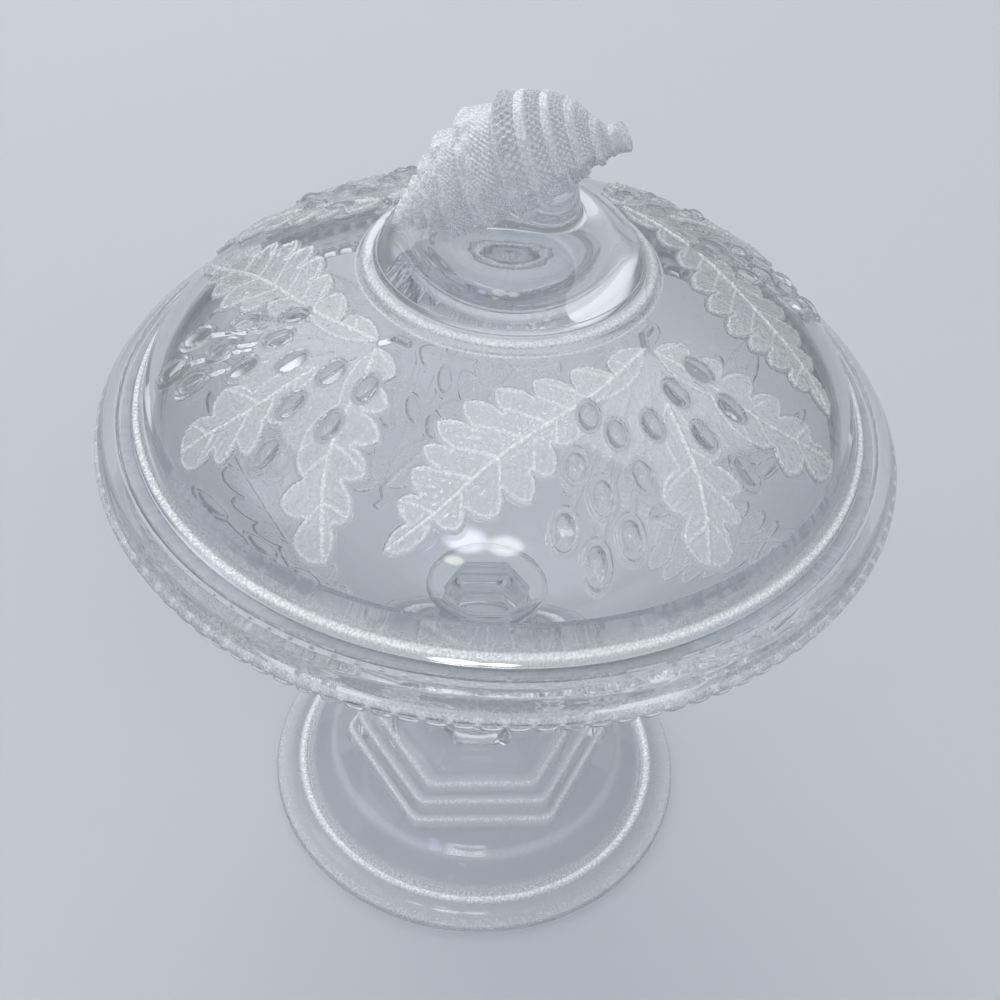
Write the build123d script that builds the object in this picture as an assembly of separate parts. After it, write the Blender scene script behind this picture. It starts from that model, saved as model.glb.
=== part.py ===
from build123d import *
import os
from math import cos, log, pi, sin

# Covered compote of clear pressed glass: a footed bowl with a lift-off domed lid and a shell finial.
# Millimetres, +Z up. The origin is on the table at the centre of the foot, on the axis of the whole piece.
# Heights stack up from the table and radii step in from the foot and the rim, so each size can change alone.

# Foot: a flat flange with a moulded ring, then a low dome that carries the hexagonal base of the stem
foot_radius = 64.0
foot_edge = 3.2
foot_flange_width = 7.0
foot_ring_height = 2.4
foot_ring_width = 3.0
foot_ring_draft = 1.0
foot_dome_width = 10.0
foot_dome_rise = 8.4
foot_dome_swell = 0.3
foot_wall = 5.5
foot_rest_width = 8.0

# Stem: three hexagonal steps, a hexagonal column that draws in to a waist, and a knop below the bowl
hexagon_turn = 5.5
step_1_inset = 1.4
step_1_height = 2.9
step_2_inset = 4.6
step_2_height = 5.1
step_3_inset = 5.9
step_3_height = 2.0
step_draft = 1.2
column_inset = 5.1
waist_radius = 12.5
waist_rise = 24.0
knop_radius = 16.5
knop_rise = 15.0
neck_radius = 13.0
neck_rise = 13.0
stem_hollow_depth = 6.5

# Wafer: the disc of glass that joins the bowl to its stem
wafer_overhang = 2.0
wafer_thickness = 4.0
wafer_bulge = 1.6

# Bowl: an open flaring wall under a turned-down rim, with a gallery inside the rim for the lid
bowl_base_radius = 16.0
bowl_rise = 61.0
bowl_belly = (0.42, 0.19)
bowl_flank = (0.74, 0.52)
bowl_wall = 5.0
rim_radius = 101.6
rim_overhang = 3.4
rim_shoulder_width = 5.2
rim_band_height = 3.8
rim_lip_edge = 2.2
rim_slope_rise = 5.6
rim_crown = 0.8
rim_width = 6.3
bead_count = 108
bead_root = 0.35
bead_relief = 2.2
bead_facets = 4
gallery_depth = 3.4
gallery_width = 6.6

# Lid: a flat flange that drops into the gallery, a step, a high dome and a ringed collar
lid_clearance = 0.3
lid_flange_width = 3.2
lid_step_height = 2.0
lid_step_draft = 0.6
lid_step_width = 1.4
dome_foot_inset = 4.2
dome_foot_rise = 6.0
dome_rise = 30.4
dome_shoulder = (0.707, 0.474)
dome_collar_margin = 1.9
lid_wall = 4.4
lid_ceiling_rise = 1.6
collar_radius = 34.1
collar_rise = 2.4
collar_round = 0.8
crown_seat_inset = 2.8
crown_seat_rise = 1.5
crown_seat_draft = 0.3

# Crown: the smooth boss of glass that rises from the collar and carries the shell
crown_height = 13.3
crown_side = (0.885, 0.42)
crown_brow = (0.42, 0.89)

# Shell: a spiral whelk that lies across the crown, apex low at -X and siphon high at +X
shell_apex_inset = 3.0
shell_apex_rise = 2.7
shell_slope = 27.85
shell_length = 60.3
shell_girth = 15.6
whorl_growth = 1.39
whorl_step = 0.075
whorl_rise = 0.24
section_count = 34
section_sides = 14

# Outline of the shell: share of its length, then its middle's lift and its radius as shares of its girth
shell_stations = [
    (0.0, 0.0, 0.035),
    (0.083, 0.02, 0.32),
    (0.166, 0.05, 0.52),
    (0.33, 0.2, 0.84),
    (0.48, 0.29, 0.98),
    (0.63, 0.36, 0.97),
    (0.73, 0.34, 0.85),
    (0.81, 0.31, 0.67),
    (0.87, 0.25, 0.45),
    (0.925, 0.12, 0.23),
    (0.96, 0.08, 0.22),
    (1.0, 0.07, 0.235),
]
last_suture = 0.577
spire_start, spire_end, spire_fade = 0.04, 0.68, 0.08

# Leaf sprays: low relief on the lid and the bowl, the same spray at each quarter turn
relief_height = 0.8
relief_root = 1.0
spray_count = 4

# Outlines of a spray's three leaves in plan, as shares of the reach of the wall that they lie on
long_leaf = [
    (0.362, -0.312), (0.257, -0.382), (0.274, -0.417), (0.168, -0.428), (0.177, -0.474), (0.076, -0.471),
    (0.086, -0.514), (-0.015, -0.502), (0., -0.554), (-0.091, -0.54), (-0.068, -0.599), (-0.152, -0.594),
    (-0.12, -0.651), (-0.179, -0.654), (-0.148, -0.702), (-0.201, -0.708), (-0.183, -0.759), (-0.228, -0.776),
    (-0.205, -0.822), (-0.251, -0.882), (-0.16, -0.868), (-0.137, -0.828), (-0.076, -0.845), (-0.057, -0.805),
    (0.015, -0.811), (0.029, -0.759), (0.091, -0.776), (0.097, -0.713), (0.143, -0.708), (0.137, -0.639),
    (0.194, -0.616), (0.24, -0.514),
]
broad_leaf = [
    (0.411, -0.457), (0.474, -0.491), (0.559, -0.537), (0.542, -0.576), (0.616, -0.611), (0.582, -0.645),
    (0.616, -0.685), (0.576, -0.708), (0.594, -0.759), (0.533, -0.805), (0.468, -0.788), (0.462, -0.731),
    (0.405, -0.708), (0.434, -0.628),
]
finger_leaf = [
    (0.377, -0.314), (0.468, -0.257), (0.479, -0.308), (0.559, -0.268), (0.565, -0.32), (0.639, -0.28),
    (0.645, -0.337), (0.719, -0.306), (0.725, -0.354), (0.811, -0.337), (0.816, -0.371), (0.885, -0.382),
    (0.833, -0.474), (0.793, -0.457), (0.745, -0.517), (0.702, -0.474), (0.639, -0.485), (0.525, -0.405),
]

# Sizes that follow from those above
foot_ring_radius = foot_radius - foot_flange_width - foot_ring_width
foot_ring_top = foot_edge + foot_ring_height
foot_top_radius = foot_ring_radius - foot_dome_width
foot_height = foot_ring_top + foot_dome_rise
step_1_radius = foot_top_radius - step_1_inset
step_2_radius = step_1_radius - step_2_inset
step_3_radius = step_2_radius - step_3_inset
column_foot_radius = step_3_radius - column_inset
step_1_top = foot_height + step_1_height
step_2_top = step_1_top + step_2_height
step_3_top = step_2_top + step_3_height
waist_height = step_3_top + waist_rise
knop_height = waist_height + knop_rise
stem_top_height = knop_height + neck_rise
stem_hollow_radius = column_foot_radius
wafer_top = stem_top_height + wafer_thickness
wafer_radius = bowl_base_radius + wafer_overhang
rim_band_radius = rim_radius - rim_overhang
bowl_shoulder_radius = rim_band_radius - rim_shoulder_width
bowl_shoulder_height = wafer_top + bowl_rise
rim_lip_bottom = bowl_shoulder_height + rim_band_height
rim_lip_height = rim_lip_bottom + rim_lip_edge
gallery_radius = rim_radius - rim_width
gallery_top = rim_lip_height + rim_slope_rise
gallery_ledge = gallery_top - gallery_depth
lid_flange_radius = gallery_radius - lid_clearance
lid_step_radius = lid_flange_radius - lid_flange_width
lid_step_top = gallery_top + lid_step_height
dome_foot_radius = lid_step_radius - dome_foot_inset
dome_foot_height = lid_step_top + dome_foot_rise
dome_top_radius = collar_radius + dome_collar_margin
dome_top_height = dome_foot_height + dome_rise
dome_shoulder_radius = dome_top_radius + dome_shoulder[0] * (dome_foot_radius - dome_top_radius)
dome_shoulder_height = dome_foot_height + dome_shoulder[1] * dome_rise
collar_height = dome_top_height + collar_rise
crown_radius = collar_radius - crown_seat_inset
crown_seat_height = collar_height + crown_seat_rise
crown_top = crown_seat_height + crown_height


def revolved(profile):
    """A solid of revolution about Z from a closed outline of edges in the XZ half-plane."""
    return revolve(make_face(profile), axis=Axis.Z, revolution_arc=360)


def half_plane(radius, height):
    """A point of an outline in the XZ half-plane."""
    return (radius, 0, height)


def foot():
    """The round foot: it rests on its outer ring and is hollow above the table."""
    flange_radius = foot_radius - foot_flange_width
    rest_radius = foot_radius - foot_rest_width
    edge_round = foot_edge / 2
    outside = Polyline(
        half_plane(foot_radius, edge_round),
        half_plane(flange_radius, foot_edge),
        half_plane(flange_radius - foot_ring_draft, foot_ring_top),
        half_plane(foot_ring_radius, foot_ring_top),
    )
    toe = ThreePointArc(
        half_plane(foot_radius - edge_round, 0),
        half_plane(foot_radius - edge_round * (1 - cos(pi / 4)), edge_round * (1 - sin(pi / 4))),
        half_plane(foot_radius, edge_round),
    )
    dome = Spline(
        half_plane(foot_ring_radius, foot_ring_top),
        half_plane(
            foot_top_radius + foot_dome_swell * foot_dome_width,
            foot_height - foot_dome_swell * foot_dome_rise,
        ),
        half_plane(foot_top_radius, foot_height),
    )
    inside = Spline(
        half_plane(stem_hollow_radius, foot_height),
        half_plane(foot_top_radius - foot_wall, foot_height - foot_wall),
        half_plane(rest_radius, 0),
    )
    top = Line(half_plane(foot_top_radius, foot_height), half_plane(stem_hollow_radius, foot_height))
    rest = Line(half_plane(rest_radius, 0), half_plane(foot_radius - edge_round, 0))
    return revolved([toe, outside, dome, top, inside, rest])


def stem_side():
    """Half the stem's width across its flats against height: three steps, the waist and the knop."""
    flat = cos(pi / 6)
    steps = Polyline(
        half_plane(flat * step_1_radius, foot_height),
        half_plane(flat * step_1_radius - step_draft, step_1_top),
        half_plane(flat * step_2_radius + step_draft, step_1_top),
        half_plane(flat * step_2_radius, step_2_top),
        half_plane(flat * step_3_radius + step_draft, step_2_top),
        half_plane(flat * step_3_radius, step_3_top),
        half_plane(flat * column_foot_radius, step_3_top),
    )
    column = Spline(
        half_plane(flat * column_foot_radius, step_3_top),
        half_plane(flat * waist_radius, waist_height),
        half_plane(flat * knop_radius, knop_height),
        half_plane(flat * neck_radius, stem_top_height),
        tangents=[(-1, 0, 0.5), (0.2, 0, 1)],
    )
    return [steps, column]


def stem():
    """The hexagonal stem: what three slabs of one curved outline have in common, each a third of a turn on."""
    side = stem_side()
    ends = [
        Line(half_plane(0, foot_height), side[0].position_at(0)),
        Line(side[-1].position_at(1), half_plane(0, stem_top_height)),
        Line(half_plane(0, stem_top_height), half_plane(0, foot_height)),
    ]
    half = make_face(side + ends)
    outline = half + mirror(half, about=Plane.YZ)
    slab = extrude(outline, 2 * step_1_radius, both=True)
    column = slab & Rot(0, 0, 60) * slab & Rot(0, 0, 120) * slab
    hollow = revolved(
        [
            Polyline(
                half_plane(0, foot_height - foot_wall),
                half_plane(stem_hollow_radius, foot_height - foot_wall),
                half_plane(stem_hollow_radius, foot_height),
            ),
            Spline(
                half_plane(stem_hollow_radius, foot_height),
                half_plane(0, foot_height + stem_hollow_depth),
                tangents=[(-0.6, 0, 1), (-1, 0, 0)],
            ),
            Line(half_plane(0, foot_height + stem_hollow_depth), half_plane(0, foot_height - foot_wall)),
        ]
    )
    return Rot(0, 0, hexagon_turn + 30) * column - hollow


def join_wafer():
    """The wafer between the stem and the bowl: a disc with a bulging edge."""
    edge_radius = wafer_radius - wafer_bulge
    return revolved(
        [
            Line(half_plane(0, stem_top_height), half_plane(edge_radius, stem_top_height)),
            ThreePointArc(
                half_plane(edge_radius, stem_top_height),
                half_plane(wafer_radius, stem_top_height + wafer_thickness / 2),
                half_plane(edge_radius, wafer_top),
            ),
            Line(half_plane(edge_radius, wafer_top), half_plane(0, wafer_top)),
            Line(half_plane(0, wafer_top), half_plane(0, stem_top_height)),
        ]
    )


def bowl_wall_outside():
    """The outside of the bowl's wall, from the wafer up to the shoulder under the rim."""
    reach = bowl_shoulder_radius - bowl_base_radius
    return Spline(
        half_plane(bowl_base_radius, wafer_top),
        half_plane(bowl_base_radius + bowl_belly[0] * reach, wafer_top + bowl_belly[1] * bowl_rise),
        half_plane(bowl_base_radius + bowl_flank[0] * reach, wafer_top + bowl_flank[1] * bowl_rise),
        half_plane(bowl_shoulder_radius, bowl_shoulder_height),
        tangents=[(1, 0, 0.12), (0.33, 0, 1)],
    )


def inset_points(curve, distance, count):
    """Points on a curve's inner side, towards the axis and up, for a wall of even thickness."""
    points = []
    for i in range(count):
        share = i / (count - 1)
        along = curve.tangent_at(share)
        points.append(curve.position_at(share) + Vector(-along.Z, 0, along.X) * distance)
    return points


def leaf_relief(curve, reach):
    """Raised leaves that follow a wall turned from this curve, rooted a little way into the glass."""
    leaves = Sketch()
    for outline in (long_leaf, broad_leaf, finger_leaf):
        leaves += make_face(Polyline([(reach * x, reach * y) for x, y in outline], close=True))
    sprays = Sketch()
    for quarter in range(spray_count):
        sprays += Rot(0, 0, quarter * 360 / spray_count) * leaves
    root = inset_points(curve, relief_root, 7)
    face = inset_points(curve, -relief_height, 7)
    band = revolved(
        [Spline(root), Line(root[-1], face[-1]), Spline(list(reversed(face))), Line(face[0], root[0])]
    )
    heights = [point.Z for point in root + face]
    below = min(heights) - relief_height
    return band & Pos(0, 0, below) * extrude(sprays, max(heights) - below + relief_height)


def bowl():
    """The bowl: wall, shoulder, turned-down rim and the gallery ledge that the lid rests on."""
    mouth_radius = gallery_radius - gallery_width
    outside = bowl_wall_outside()
    inner = inset_points(outside, bowl_wall, 5)
    floor_height = inner[0].Z
    inside = Spline([half_plane(0, floor_height)] + inner[1:], tangents=[(1, 0, 0), (0.33, 0, 1)])
    shoulder = Polyline(
        half_plane(bowl_shoulder_radius, bowl_shoulder_height),
        half_plane(rim_band_radius, bowl_shoulder_height),
        half_plane(rim_band_radius, rim_lip_bottom),
        half_plane(rim_radius - rim_lip_edge / 2, rim_lip_bottom),
    )
    lip = ThreePointArc(
        half_plane(rim_radius - rim_lip_edge / 2, rim_lip_bottom),
        half_plane(rim_radius, rim_lip_height - rim_lip_edge / 2),
        half_plane(rim_radius - rim_lip_edge / 4, rim_lip_height),
    )
    brim = ThreePointArc(
        half_plane(rim_radius - rim_lip_edge / 4, rim_lip_height),
        half_plane(
            (rim_radius + gallery_radius + rim_crown) / 2,
            (rim_lip_height + gallery_top) / 2 + rim_crown,
        ),
        half_plane(gallery_radius, gallery_top),
    )
    gallery = Polyline(
        half_plane(gallery_radius, gallery_top),
        half_plane(gallery_radius, gallery_ledge),
        half_plane(mouth_radius, gallery_ledge),
        inside.position_at(1),
    )
    axis_line = Line(half_plane(0, floor_height), half_plane(0, wafer_top))
    base = Line(half_plane(0, wafer_top), outside.position_at(0))
    plain = revolved([base, outside, shoulder, lip, brim, gallery, inside, axis_line])
    return plain + leaf_relief(outside, bowl_shoulder_radius)


def rim_beads():
    """The ring of beads under the lip: a band whose edge bulges in a few facets for each bead."""
    root = rim_band_radius + bead_root
    edge = []
    for i in range(bead_count * bead_facets):
        bulge = bead_relief * sin(pi * (i % bead_facets) / bead_facets) ** 0.5
        angle = 2 * pi * i / (bead_count * bead_facets)
        edge.append(((root + bulge) * cos(angle), (root + bulge) * sin(angle)))
    band = make_face(Polyline(edge, close=True)) - Circle(rim_band_radius)
    return Pos(0, 0, bowl_shoulder_height) * extrude(band, rim_band_height)


def dome_outside():
    """The outside of the lid's dome, from the step above the flange up to the collar."""
    return Spline(
        half_plane(dome_foot_radius, dome_foot_height),
        half_plane(dome_shoulder_radius, dome_shoulder_height),
        half_plane(dome_top_radius, dome_top_height),
        tangents=[(-0.55, 0, 1), (-1, 0, 0.33)],
    )


def lid_cover():
    """The lid: its flange lies in the gallery, and the dome is an even wall with a solid collar on top."""
    outside = dome_outside()
    inner = inset_points(outside, lid_wall, 5)
    mouth_radius = inner[0].X
    rim = Polyline(
        half_plane(mouth_radius, gallery_ledge),
        half_plane(lid_flange_radius, gallery_ledge),
        half_plane(lid_flange_radius, gallery_top),
        half_plane(lid_step_radius, gallery_top),
        half_plane(lid_step_radius - lid_step_draft, lid_step_top),
        half_plane(lid_step_radius - lid_step_draft - lid_step_width, lid_step_top),
        half_plane(dome_foot_radius, dome_foot_height),
    )
    collar = Polyline(
        half_plane(dome_top_radius, dome_top_height),
        half_plane(collar_radius + collar_round, collar_height - collar_round),
        half_plane(collar_radius, collar_height),
        half_plane(crown_radius + collar_round, collar_height),
        half_plane(crown_radius + crown_seat_draft, crown_seat_height),
        half_plane(0, crown_seat_height),
    )
    ceiling_height = inner[-1].Z + lid_ceiling_rise
    inside = Spline(inner + [half_plane(0, ceiling_height)], tangents=[(-0.55, 0, 1), (-1, 0, 0)])
    axis_line = Line(half_plane(0, crown_seat_height), half_plane(0, ceiling_height))
    mouth = Line(half_plane(mouth_radius, gallery_ledge), inner[0])
    plain = revolved([rim, outside, collar, axis_line, inside, mouth])
    return plain + leaf_relief(outside, dome_foot_radius)


def finial_crown():
    """The crown: a convex boss that stands on the collar."""
    side = Spline(
        half_plane(crown_radius, crown_seat_height),
        half_plane(crown_side[0] * crown_radius, crown_seat_height + crown_side[1] * crown_height),
        half_plane(crown_brow[0] * crown_radius, crown_seat_height + crown_brow[1] * crown_height),
        half_plane(0, crown_top),
        tangents=[(-0.3, 0, 1), (-1, 0, 0)],
    )
    base = Line(half_plane(0, crown_seat_height), half_plane(crown_radius, crown_seat_height))
    axis_line = Line(half_plane(0, crown_top), half_plane(0, crown_seat_height))
    return revolved([base, side, axis_line])


def shell_outline():
    """The shell's outline as a curve: X is the distance along its axis, Y its middle's lift, Z its radius."""
    points = []
    for share, lift, radius in shell_stations:
        points.append((share * shell_length, lift * shell_girth, radius * shell_girth))
    return Spline(points)


def whorl_relief(share, turn):
    """The stepped shoulders: a sawtooth that winds once round the shell for each whorl."""
    fade_in = min(1.0, share / spire_start)
    fade_out = min(1.0, max(0.0, (spire_end - share) / spire_fade))
    phase = (log(max(share, spire_start) / last_suture) / log(whorl_growth) + turn - 0.25) % 1.0
    tooth = phase / whorl_rise if phase < whorl_rise else (1 - phase) / (1 - whorl_rise)
    return 1 + fade_in * fade_out * whorl_step * (2 * tooth - 1)


def shell_body():
    """The spiral shell as one loft through closed sections along its axis."""
    slope = shell_slope * pi / 180
    ahead = Vector(cos(slope), 0, sin(slope))
    up = Vector(-sin(slope), 0, cos(slope))
    across = Vector(0, 1, 0)
    apex = Vector(shell_apex_inset - crown_radius, 0, crown_seat_height + shell_apex_rise)
    outline = shell_outline()
    sections = []
    for i in range(section_count):
        station = outline.position_at(i / (section_count - 1))
        middle = apex + ahead * station.X + up * station.Y
        points = []
        for j in range(section_sides):
            turn = j / section_sides
            radius = station.Z * whorl_relief(station.X / shell_length, turn)
            points.append(middle + (across * cos(2 * pi * turn) + up * sin(2 * pi * turn)) * radius)
        sections.append(Wire([Edge.make_spline(points, periodic=True)]))
    return Solid.make_loft(sections)


def shell_finial(crown):
    """The shell, hollowed underneath to sit on the crown."""
    return shell_body() - crown


crown = finial_crown()
nodes = {
    "foot": foot(),
    "stem": stem(),
    "join_wafer": join_wafer(),
    "bowl": bowl(),
    "rim_beads": rim_beads(),
    "lid_cover": lid_cover(),
    "finial_crown": crown,
    "shell_finial": shell_finial(crown),
}

os.makedirs("parts", exist_ok=True)
for name, solid in nodes.items():
    export_step(solid, f"parts/{name}.step")
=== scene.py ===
from math import cos, pi, radians, sin, tan

import bpy
import numpy as np
from mathutils import Matrix, Vector


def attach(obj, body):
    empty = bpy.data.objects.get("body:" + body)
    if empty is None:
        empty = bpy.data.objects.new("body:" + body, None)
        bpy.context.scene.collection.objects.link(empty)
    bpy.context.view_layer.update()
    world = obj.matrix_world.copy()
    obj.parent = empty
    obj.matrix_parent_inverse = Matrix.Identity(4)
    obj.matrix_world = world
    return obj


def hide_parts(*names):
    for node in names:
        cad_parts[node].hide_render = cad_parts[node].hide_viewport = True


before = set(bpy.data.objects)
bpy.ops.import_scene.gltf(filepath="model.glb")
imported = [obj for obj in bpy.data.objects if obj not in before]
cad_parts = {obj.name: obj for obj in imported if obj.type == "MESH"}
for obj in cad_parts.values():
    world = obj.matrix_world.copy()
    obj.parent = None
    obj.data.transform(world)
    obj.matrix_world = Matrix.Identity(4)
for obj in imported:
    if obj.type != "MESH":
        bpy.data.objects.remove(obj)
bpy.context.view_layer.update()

# Everything is worked out in millimetres and written to the meshes in metres
MM = 0.001

# Camera: where the photograph was taken from
camera_place = (0.0, -287.53, 381.81)
camera_pitch, camera_yaw, camera_roll = 42.86, -0.37, 4.24
camera_lens, camera_sensor = 51.906, 36.0

# Foot
foot_radius, foot_edge, foot_flange_width = 64.0, 3.2, 7.0
foot_ring_height, foot_ring_width = 2.4, 3.0
foot_top_radius, foot_height, foot_wall, foot_rest_width = 44.0, 14.0, 5.5, 8.0

# Stem: corner radius and top of each hexagonal step, then the column
hexagon_turn = 5.5
hexagon_softness = 40
# Half the width across a hexagon's flats, as a share of its corner radius
hexagon_flat = cos(pi / 6)
step_draft = 1.2
steps = ((42.6, 16.9), (38.0, 22.0), (32.1, 24.0))
column = ((27.0, 24.0), (12.5, 48.0), (16.5, 63.0), (13.0, 76.0))
stem_hollow_radius, stem_hollow_depth = 27.0, 6.5

# Wafer
wafer_radius, wafer_thickness, wafer_bulge = 18.0, 4.0, 1.6

# Bowl. The top of the lid's flange is level with the top of the brim
lid_flange_top = 152.6
bowl_base_radius, bowl_base_height = 16.0, 80.0
bowl_shoulder_radius, bowl_shoulder_height, bowl_wall = 93.0, 141.0, 5.0
rim_radius, rim_lip_height, rim_lip_edge, rim_crown = 101.6, 147.0, 2.2, 0.8
rim_band_radius, bead_count, bead_relief = 98.2, 108, 2.5
gallery_radius, gallery_depth, gallery_width = 95.3, 3.4, 6.6
lip_bottom = rim_lip_height - rim_lip_edge
# The middle of the sloping brim
brim_radius, brim_height = (rim_radius + gallery_radius) / 2, (rim_lip_height + lid_flange_top) / 2
# Inside this radius the well of the bowl is flatter
well_radius = 14

# Lid
lid_clearance, lid_flange_width, lid_step_height = 0.3, 3.2, 2.0
dome_foot, dome_shoulder, dome_top = (87.6, 160.6), (72.5, 175.0), (36.0, 191.0)
lid_wall, ceiling_rise, collar_radius, collar_height = 4.4, 8.0, 34.1, 193.4
crown_radius, crown_seat_height, crown_height = 31.3, 194.9, 13.3
pedestal_span, pedestal_flat, pedestal_flare, pedestal_rise = (-6.0, 6.0), 6.5, 4.0, 12.0

# Shell: place and slope of its axis, and its radius and lift at stations along it
shell_apex = (-28.3, 0.0, 197.6)
shell_slope = 27.85
shell_length, shell_girth = 60.3, 15.6
# Share of the length, then radius and lift as shares of the girth
shell_stations = (
    (0.0, 0.035, 0.0),
    (0.083, 0.32, 0.02),
    (0.166, 0.52, 0.05),
    (0.33, 0.82, 0.2),
    (0.48, 0.93, 0.28),
    (0.63, 0.92, 0.34),
    (0.73, 0.82, 0.33),
    (0.81, 0.67, 0.31),
    (0.87, 0.45, 0.25),
    (0.925, 0.235, 0.12),
    (0.96, 0.21, 0.08),
    (1.0, 0.25, 0.07),
)
whorl_growth, last_suture, whorl_step, whorl_rise = 1.39, 34.8, 0.11, 0.16
# Where the frosted form ends low on its side: distance along the axis, then share of a turn
belly_edge = ((0, 0.75), (15, 0.66), (22, 0.555), (28, 0.53), (35, 0.515), (45, 0.508), (52, 0.525), (57, 0.63))
belly_depth = 2.6
# Raised spiral bands on the body whorl, along the top of the shell
band_places = (34.8, 41.5, 46.5, 50.8, 54.3, 57.0, 60.3)
# Fine relief: on the spire a suture line, two rows of knobs and ribs, on the body bands, grooves and dots
suture_depth, knob_rise, rib_rise = 0.45, 0.45, 0.28
upper_knobs, lower_knobs, rib_count, rib_slant = 11, 17, 66, 9
band_rise, groove_depth, dot_rise, dot_count = 0.45, 0.85, 0.4, 46
grain_rise = 0.03

# Columns of points round each form, and rows along the shell
foot_columns, stem_columns, wafer_columns, crown_columns = 300, 360, 240, 360
bowl_columns, bowl_rim_columns = 880, 440
columns_per_bead, lip_columns_per_bead = 12, 10
lid_columns, lid_rim_columns, lid_lining_columns = 1080, 480, 320
shell_rows, shell_columns = 330, 420


def smooth_line(points, start=None, end=None, spacing=1.0):
    """Points along a smooth curve through the given ones, a clamped cubic, about evenly spaced."""
    p = np.array(points, float)
    h = np.linalg.norm(np.diff(p, axis=0), axis=1)
    n = len(p)
    a = np.zeros((n, n))
    b = np.zeros_like(p)
    for i in range(1, n - 1):
        a[i, i - 1 : i + 2] = h[i], 2 * (h[i - 1] + h[i]), h[i - 1]
        b[i] = 3 * (h[i] * (p[i] - p[i - 1]) / h[i - 1] + h[i - 1] * (p[i + 1] - p[i]) / h[i])
    for row, given, near in ((0, start, 1), (n - 1, end, n - 2)):
        a[row, row] = 1.0
        if given is None:
            a[row, near] = 0.5
            b[row] = 1.5 * (p[max(row, near)] - p[min(row, near)]) / h[min(row, near)]
        else:
            b[row] = np.array(given, float) / np.linalg.norm(given)
    m = np.linalg.solve(a, b)
    line = []
    for i in range(n - 1):
        t = np.linspace(0, 1, 24, endpoint=False)[:, None]
        line.append(
            (2 * t**3 - 3 * t**2 + 1) * p[i]
            + (t**3 - 2 * t**2 + t) * h[i] * m[i]
            + (3 * t**2 - 2 * t**3) * p[i + 1]
            + (t**3 - t**2) * h[i] * m[i + 1]
        )
    return evenly(np.vstack(line + [p[-1:]]), spacing)


def evenly(line, spacing):
    """The same line with its points about one spacing apart."""
    run = np.concatenate([[0], np.cumsum(np.linalg.norm(np.diff(line, axis=0), axis=1))])
    count = max(2, int(round(run[-1] / spacing)) + 1)
    at = np.linspace(0, run[-1], count)
    return np.stack([np.interp(at, run, line[:, k]) for k in range(line.shape[1])], axis=1)


def arc(first, corner, last, t):
    """Points at shares t along a curve that leaves first and reaches last, both headed by the corner."""
    return (1 - t) ** 2 * first + 2 * t * (1 - t) * corner + t**2 * last


def angles(columns):
    """Angles of the columns of a grid that closes round the axis."""
    return np.arange(columns) * 2 * pi / columns


def widened(values, columns):
    """A value for each row of a grid, repeated over its columns."""
    return np.repeat(values[:, None], columns, axis=1)


def softened(points, radius, steps=4):
    """A line with each inner corner rounded, as fire-polished glass is."""
    p = [np.array(q, float) for q in points]
    out = [p[0]]
    for before, corner, after in zip(p, p[1:], p[2:]):
        into, away = before - corner, after - corner
        reach = min(radius, 0.48 * np.linalg.norm(into), 0.48 * np.linalg.norm(away))
        first = corner + into / np.linalg.norm(into) * reach
        last = corner + away / np.linalg.norm(away) * reach
        for k in range(steps + 1):
            out.append(arc(first, corner, last, k / steps))
    return np.array(out + [p[-1]])


def inset(line, distance):
    """The line moved sideways by a wall's thickness."""
    along = np.gradient(line, axis=0)
    along /= np.linalg.norm(along, axis=1, keepdims=True)
    return line + np.stack([-along[:, 1], along[:, 0]], axis=1) * distance


def turned(profile, columns, radius_at=None):
    """A grid of points from a profile of (radius, height) turned about Z. radius_at may reshape each radius."""
    angle = angles(columns)
    radius = widened(profile[:, 0], columns)
    if radius_at is not None:
        radius = radius_at(profile, radius, angle)
    height = widened(profile[:, 1], columns)
    return np.stack([radius * np.cos(angle), radius * np.sin(angle), height], axis=2)


def skin(name, grids, material, body, node, values=None, kept=None):
    """One mesh from grids of points that each close round the axis. It stands for a CAD node."""
    points, faces, start = [], [], 0
    for k, grid in enumerate(grids):
        rows, columns = grid.shape[:2]
        index = start + np.arange(rows * columns).reshape(rows, columns)
        nearer, farther = index[:-1], index[1:]
        quads = np.stack([nearer, np.roll(nearer, -1, 1), np.roll(farther, -1, 1), farther], axis=2)
        faces.append(quads.reshape(-1, 4) if kept is None else quads[kept[k]])
        points.append(grid.reshape(-1, 3))
        start += rows * columns
    points = np.vstack(points) * MM
    faces = np.vstack(faces)
    mesh = bpy.data.meshes.new(name)
    mesh.vertices.add(len(points))
    mesh.vertices.foreach_set("co", points.ravel())
    mesh.loops.add(faces.size)
    mesh.loops.foreach_set("vertex_index", faces.ravel())
    mesh.polygons.add(len(faces))
    mesh.polygons.foreach_set("loop_start", np.arange(0, faces.size, 4))
    mesh.update(calc_edges=True)
    mesh.validate()
    mesh.polygons.foreach_set("use_smooth", np.ones(len(mesh.polygons), bool))
    if values is not None:
        layer = mesh.attributes.new("frost", "FLOAT", "POINT")
        layer.data.foreach_set("value", np.concatenate([v.ravel() for v in values]).astype(np.float32))
    mesh.materials.append(material)
    piece = bpy.data.objects.new(name, mesh)
    bpy.context.scene.collection.objects.link(piece)
    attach(piece, body)
    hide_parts(*([node] if isinstance(node, str) else node))
    return piece


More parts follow.
